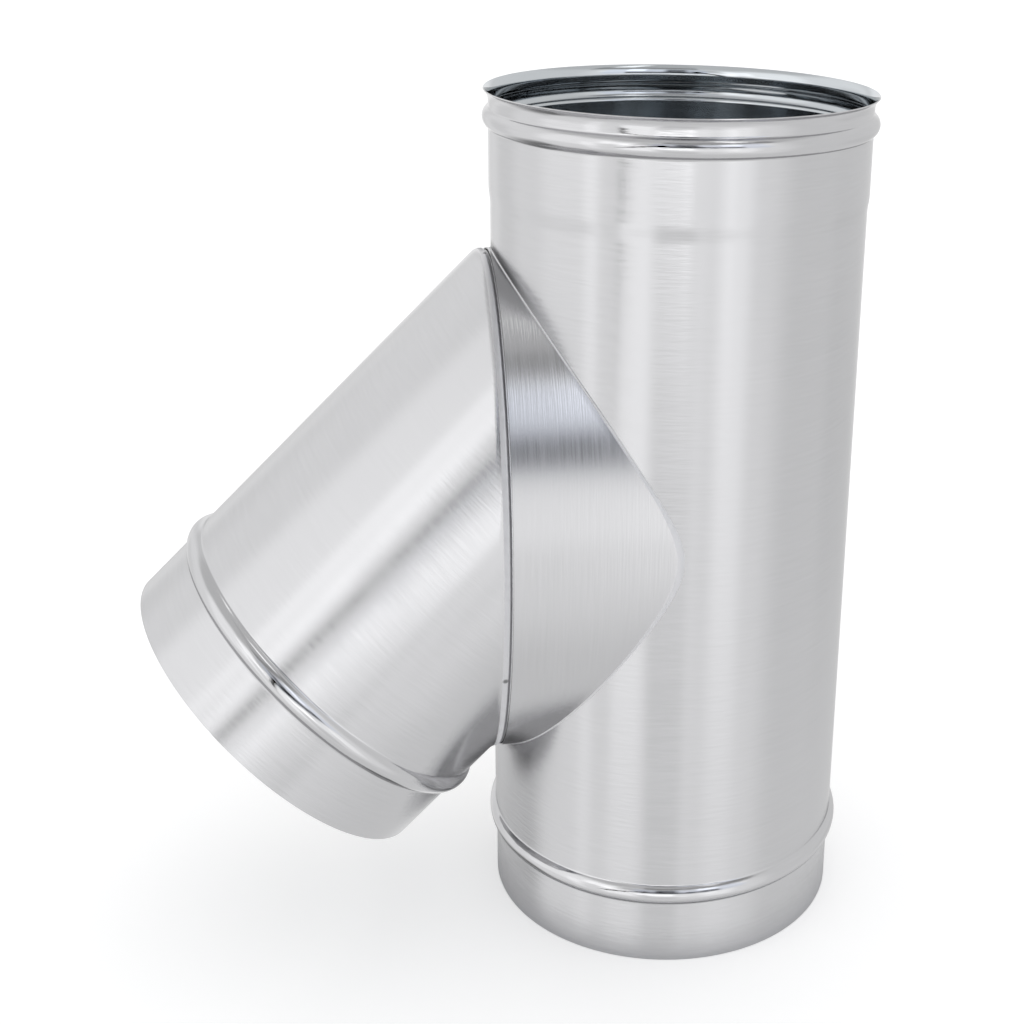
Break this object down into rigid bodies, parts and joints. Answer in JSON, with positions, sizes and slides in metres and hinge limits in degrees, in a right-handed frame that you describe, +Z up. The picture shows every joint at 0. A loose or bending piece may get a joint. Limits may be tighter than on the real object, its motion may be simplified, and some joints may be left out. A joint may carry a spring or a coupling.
{
  "type": "stove pipe tee",
  "caption": "Single wall stove pipe tee: an upright pipe with a beaded socket above and a spigot below, and a mitred branch that leaves downwards at 45 degrees through an oval saddle collar.",
  "frame": {"origin": "centre of the bottom rim of the main pipe", "axes": "+Z up along the main pipe, the branch leaves towards -X and downwards, Y across"},
  "size_m": [0.2978, 0.157, 0.3516],
  "materials": {
    "pipe_steel": "satin, brushed round the circumference",
    "collar_steel": "satin, brushed from the seam towards the pipe"
  },
  "bodies": {
    "root": {"main_pipe": "pipe_steel", "saddle_collar": "collar_steel", "branch_pipe": "pipe_steel"}
  },
  "joints": []
}
